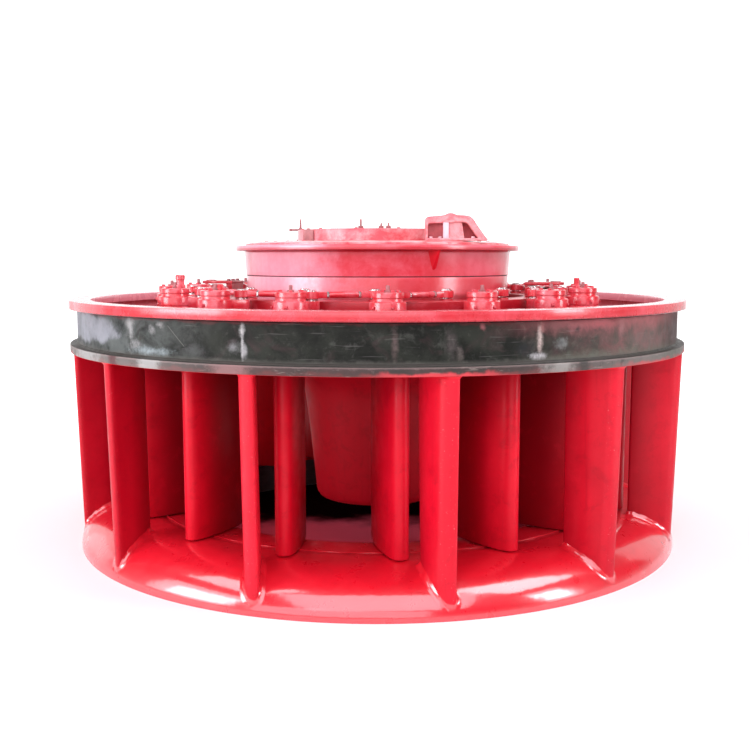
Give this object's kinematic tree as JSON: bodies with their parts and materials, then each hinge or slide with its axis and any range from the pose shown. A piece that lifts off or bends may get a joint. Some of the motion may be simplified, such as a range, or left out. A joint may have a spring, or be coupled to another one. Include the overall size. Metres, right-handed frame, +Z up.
{
  "type": "kaplan turbine guide vane assembly",
  "caption": "Ring of turning guide vanes between a stay ring's fixed vanes, with levers, links, operating ring, head cover drum and inner cone.",
  "frame": {"origin": "on the floor, on the machine's vertical axis", "axes": "+Z up along the shaft; -Y is the picture's front; +X is to its right"},
  "size_m": [3, 3, 1.566],
  "materials": {
    "red_paint": "high-gloss red enamel",
    "vane_paint": "high-gloss red enamel",
    "bare_metal": "dark grey primer, satin",
    "steel": "machined"
  },
  "bodies": {
    "stay_ring": {"upper_stay_ring": "red_paint", "stay_ring_lip": "red_paint", "lower_stay_ring": "red_paint", "bottom_ring": "red_paint", "head_cover": "red_paint", "inner_cone": "red_paint", "ring_guide": "bare_metal", "drum_lower": "red_paint", "drum_upper": "red_paint", "bearing_cover": "red_paint", "service_bracket": "red_paint", "vent_post": "red_paint", "stay_vane_01": "vane_paint", "stay_vane_02": "vane_paint", "stay_vane_03": "vane_paint", "stay_vane_04": "vane_paint", "stay_vane_05": "vane_paint", "stay_vane_06": "vane_paint", "stay_vane_07": "vane_paint", "stay_vane_08": "vane_paint", "stay_vane_09": "vane_paint", "stay_vane_10": "vane_paint", "stay_vane_11": "vane_paint", "stay_vane_12": "vane_paint"},
    "operating_ring": {"operating_ring": "red_paint"},
    "guide_vane_01": {"guide_vane_01": "vane_paint"},
    "link_01": {"link_01": "red_paint"},
    "guide_vane_02": {"guide_vane_02": "vane_paint"},
    "link_02": {"link_02": "red_paint"},
    "guide_vane_03": {"guide_vane_03": "vane_paint"},
    "link_03": {"link_03": "red_paint"},
    "guide_vane_04": {"guide_vane_04": "vane_paint"},
    "link_04": {"link_04": "red_paint"},
    "guide_vane_05": {"guide_vane_05": "vane_paint"},
    "link_05": {"link_05": "red_paint"},
    "guide_vane_06": {"guide_vane_06": "vane_paint"},
    "link_06": {"link_06": "red_paint"},
    "guide_vane_07": {"guide_vane_07": "vane_paint"},
    "link_07": {"link_07": "red_paint"},
    "guide_vane_08": {"guide_vane_08": "vane_paint"},
    "link_08": {"link_08": "red_paint"},
    "guide_vane_09": {"guide_vane_09": "vane_paint"},
    "link_09": {"link_09": "red_paint"},
    "guide_vane_10": {"guide_vane_10": "vane_paint"},
    "link_10": {"link_10": "red_paint"},
    "guide_vane_11": {"guide_vane_11": "vane_paint"},
    "link_11": {"link_11": "red_paint"},
    "guide_vane_12": {"guide_vane_12": "vane_paint"},
    "link_12": {"link_12": "red_paint"},
    "guide_vane_13": {"guide_vane_13": "vane_paint"},
    "link_13": {"link_13": "red_paint"},
    "guide_vane_14": {"guide_vane_14": "vane_paint"},
    "link_14": {"link_14": "red_paint"},
    "guide_vane_15": {"guide_vane_15": "vane_paint"},
    "link_15": {"link_15": "red_paint"},
    "guide_vane_16": {"guide_vane_16": "vane_paint"},
    "link_16": {"link_16": "red_paint"}
  },
  "joints": [
    {"name": "ring_turn", "type": "hinge", "parent": "stay_ring", "child": "operating_ring", "pos_m": [0, 0, 1.154], "axis": [0, 0, 1], "range_deg": [-9, 0.5]},
    {"name": "vane_turn_01", "type": "hinge", "parent": "stay_ring", "child": "guide_vane_01", "pos_m": [0.04232, -1.03113, 1.05], "axis": [0, 0, 1], "range_deg": [-5, 66]},
    {"name": "link_turn_01", "type": "hinge", "parent": "guide_vane_01", "child": "link_01", "pos_m": [0.0787, -0.91678, 1.2065], "axis": [0, 0, 1], "range_deg": [-70, 6]},
    {"name": "vane_turn_02", "type": "hinge", "parent": "stay_ring", "child": "guide_vane_02", "pos_m": [0.43369, -0.93645, 1.05], "axis": [0, 0, 1], "range_deg": [-5, 66]},
    {"name": "link_turn_02", "type": "hinge", "parent": "guide_vane_02", "child": "link_02", "pos_m": [0.42355, -0.81688, 1.2065], "axis": [0, 0, 1], "range_deg": [-70, 6]},
    {"name": "vane_turn_03", "type": "hinge", "parent": "stay_ring", "child": "guide_vane_03", "pos_m": [0.75904, -0.6992, 1.05], "axis": [0, 0, 1], "range_deg": [-5, 66]},
    {"name": "link_turn_03", "type": "hinge", "parent": "guide_vane_03", "child": "link_03", "pos_m": [0.70391, -0.59261, 1.2065], "axis": [0, 0, 1], "range_deg": [-70, 6]},
    {"name": "vane_turn_04", "type": "hinge", "parent": "stay_ring", "child": "guide_vane_04", "pos_m": [0.96884, -0.3555, 1.05], "axis": [0, 0, 1], "range_deg": [-5, 66]},
    {"name": "link_turn_04", "type": "hinge", "parent": "guide_vane_04", "child": "link_04", "pos_m": [0.87711, -0.27813, 1.2065], "axis": [0, 0, 1], "range_deg": [-70, 6]},
    {"name": "vane_turn_05", "type": "hinge", "parent": "stay_ring", "child": "guide_vane_05", "pos_m": [1.03113, 0.04232, 1.05], "axis": [0, 0, 1], "range_deg": [-5, 66]},
    {"name": "link_turn_05", "type": "hinge", "parent": "guide_vane_05", "child": "link_05", "pos_m": [0.91678, 0.0787, 1.2065], "axis": [0, 0, 1], "range_deg": [-70, 6]},
    {"name": "vane_turn_06", "type": "hinge", "parent": "stay_ring", "child": "guide_vane_06", "pos_m": [0.93645, 0.43369, 1.05], "axis": [0, 0, 1], "range_deg": [-5, 66]},
    {"name": "link_turn_06", "type": "hinge", "parent": "guide_vane_06", "child": "link_06", "pos_m": [0.81688, 0.42355, 1.2065], "axis": [0, 0, 1], "range_deg": [-70, 6]},
    {"name": "vane_turn_07", "type": "hinge", "parent": "stay_ring", "child": "guide_vane_07", "pos_m": [0.6992, 0.75904, 1.05], "axis": [0, 0, 1], "range_deg": [-5, 66]},
    {"name": "link_turn_07", "type": "hinge", "parent": "guide_vane_07", "child": "link_07", "pos_m": [0.59261, 0.70391, 1.2065], "axis": [0, 0, 1], "range_deg": [-70, 6]},
    {"name": "vane_turn_08", "type": "hinge", "parent": "stay_ring", "child": "guide_vane_08", "pos_m": [0.3555, 0.96884, 1.05], "axis": [0, 0, 1], "range_deg": [-5, 66]},
    {"name": "link_turn_08", "type": "hinge", "parent": "guide_vane_08", "child": "link_08", "pos_m": [0.27813, 0.87711, 1.2065], "axis": [0, 0, 1], "range_deg": [-70, 6]},
    {"name": "vane_turn_09", "type": "hinge", "parent": "stay_ring", "child": "guide_vane_09", "pos_m": [-0.04232, 1.03113, 1.05], "axis": [0, 0, 1], "range_deg": [-5, 66]},
    {"name": "link_turn_09", "type": "hinge", "parent": "guide_vane_09", "child": "link_09", "pos_m": [-0.0787, 0.91678, 1.2065], "axis": [0, 0, 1], "range_deg": [-70, 6]},
    {"name": "vane_turn_10", "type": "hinge", "parent": "stay_ring", "child": "guide_vane_10", "pos_m": [-0.43369, 0.93645, 1.05], "axis": [0, 0, 1], "range_deg": [-5, 66]},
    {"name": "link_turn_10", "type": "hinge", "parent": "guide_vane_10", "child": "link_10", "pos_m": [-0.42355, 0.81688, 1.2065], "axis": [0, 0, 1], "range_deg": [-70, 6]},
    {"name": "vane_turn_11", "type": "hinge", "parent": "stay_ring", "child": "guide_vane_11", "pos_m": [-0.75904, 0.6992, 1.05], "axis": [0, 0, 1], "range_deg": [-5, 66]},
    {"name": "link_turn_11", "type": "hinge", "parent": "guide_vane_11", "child": "link_11", "pos_m": [-0.70391, 0.59261, 1.2065], "axis": [0, 0, 1], "range_deg": [-70, 6]},
    {"name": "vane_turn_12", "type": "hinge", "parent": "stay_ring", "child": "guide_vane_12", "pos_m": [-0.96884, 0.3555, 1.05], "axis": [0, 0, 1], "range_deg": [-5, 66]},
    {"name": "link_turn_12", "type": "hinge", "parent": "guide_vane_12", "child": "link_12", "pos_m": [-0.87711, 0.27813, 1.2065], "axis": [0, 0, 1], "range_deg": [-70, 6]},
    {"name": "vane_turn_13", "type": "hinge", "parent": "stay_ring", "child": "guide_vane_13", "pos_m": [-1.03113, -0.04232, 1.05], "axis": [0, 0, 1], "range_deg": [-5, 66]},
    {"name": "link_turn_13", "type": "hinge", "parent": "guide_vane_13", "child": "link_13", "pos_m": [-0.91678, -0.0787, 1.2065], "axis": [0, 0, 1], "range_deg": [-70, 6]},
    {"name": "vane_turn_14", "type": "hinge", "parent": "stay_ring", "child": "guide_vane_14", "pos_m": [-0.93645, -0.43369, 1.05], "axis": [0, 0, 1], "range_deg": [-5, 66]},
    {"name": "link_turn_14", "type": "hinge", "parent": "guide_vane_14", "child": "link_14", "pos_m": [-0.81688, -0.42355, 1.2065], "axis": [0, 0, 1], "range_deg": [-70, 6]},
    {"name": "vane_turn_15", "type": "hinge", "parent": "stay_ring", "child": "guide_vane_15", "pos_m": [-0.6992, -0.75904, 1.05], "axis": [0, 0, 1], "range_deg": [-5, 66]},
    {"name": "link_turn_15", "type": "hinge", "parent": "guide_vane_15", "child": "link_15", "pos_m": [-0.59261, -0.70391, 1.2065], "axis": [0, 0, 1], "range_deg": [-70, 6]},
    {"name": "vane_turn_16", "type": "hinge", "parent": "stay_ring", "child": "guide_vane_16", "pos_m": [-0.3555, -0.96884, 1.05], "axis": [0, 0, 1], "range_deg": [-5, 66]},
    {"name": "link_turn_16", "type": "hinge", "parent": "guide_vane_16", "child": "link_16", "pos_m": [-0.27813, -0.87711, 1.2065], "axis": [0, 0, 1], "range_deg": [-70, 6]}
  ],
  "couplings": [
    {"joint": "vane_turn_01", "follows": "ring_turn", "ratio": -7.11},
    {"joint": "link_turn_01", "follows": "ring_turn", "ratio": 7.6},
    {"joint": "vane_turn_02", "follows": "ring_turn", "ratio": -7.11},
    {"joint": "link_turn_02", "follows": "ring_turn", "ratio": 7.6},
    {"joint": "vane_turn_03", "follows": "ring_turn", "ratio": -7.11},
    {"joint": "link_turn_03", "follows": "ring_turn", "ratio": 7.6},
    {"joint": "vane_turn_04", "follows": "ring_turn", "ratio": -7.11},
    {"joint": "link_turn_04", "follows": "ring_turn", "ratio": 7.6},
    {"joint": "vane_turn_05", "follows": "ring_turn", "ratio": -7.11},
    {"joint": "link_turn_05", "follows": "ring_turn", "ratio": 7.6},
    {"joint": "vane_turn_06", "follows": "ring_turn", "ratio": -7.11},
    {"joint": "link_turn_06", "follows": "ring_turn", "ratio": 7.6},
    {"joint": "vane_turn_07", "follows": "ring_turn", "ratio": -7.11},
    {"joint": "link_turn_07", "follows": "ring_turn", "ratio": 7.6},
    {"joint": "vane_turn_08", "follows": "ring_turn", "ratio": -7.11},
    {"joint": "link_turn_08", "follows": "ring_turn", "ratio": 7.6},
    {"joint": "vane_turn_09", "follows": "ring_turn", "ratio": -7.11},
    {"joint": "link_turn_09", "follows": "ring_turn", "ratio": 7.6},
    {"joint": "vane_turn_10", "follows": "ring_turn", "ratio": -7.11},
    {"joint": "link_turn_10", "follows": "ring_turn", "ratio": 7.6},
    {"joint": "vane_turn_11", "follows": "ring_turn", "ratio": -7.11},
    {"joint": "link_turn_11", "follows": "ring_turn", "ratio": 7.6},
    {"joint": "vane_turn_12", "follows": "ring_turn", "ratio": -7.11},
    {"joint": "link_turn_12", "follows": "ring_turn", "ratio": 7.6},
    {"joint": "vane_turn_13", "follows": "ring_turn", "ratio": -7.11},
    {"joint": "link_turn_13", "follows": "ring_turn", "ratio": 7.6},
    {"joint": "vane_turn_14", "follows": "ring_turn", "ratio": -7.11},
    {"joint": "link_turn_14", "follows": "ring_turn", "ratio": 7.6},
    {"joint": "vane_turn_15", "follows": "ring_turn", "ratio": -7.11},
    {"joint": "link_turn_15", "follows": "ring_turn", "ratio": 7.6},
    {"joint": "vane_turn_16", "follows": "ring_turn", "ratio": -7.11},
    {"joint": "link_turn_16", "follows": "ring_turn", "ratio": 7.6}
  ]
}
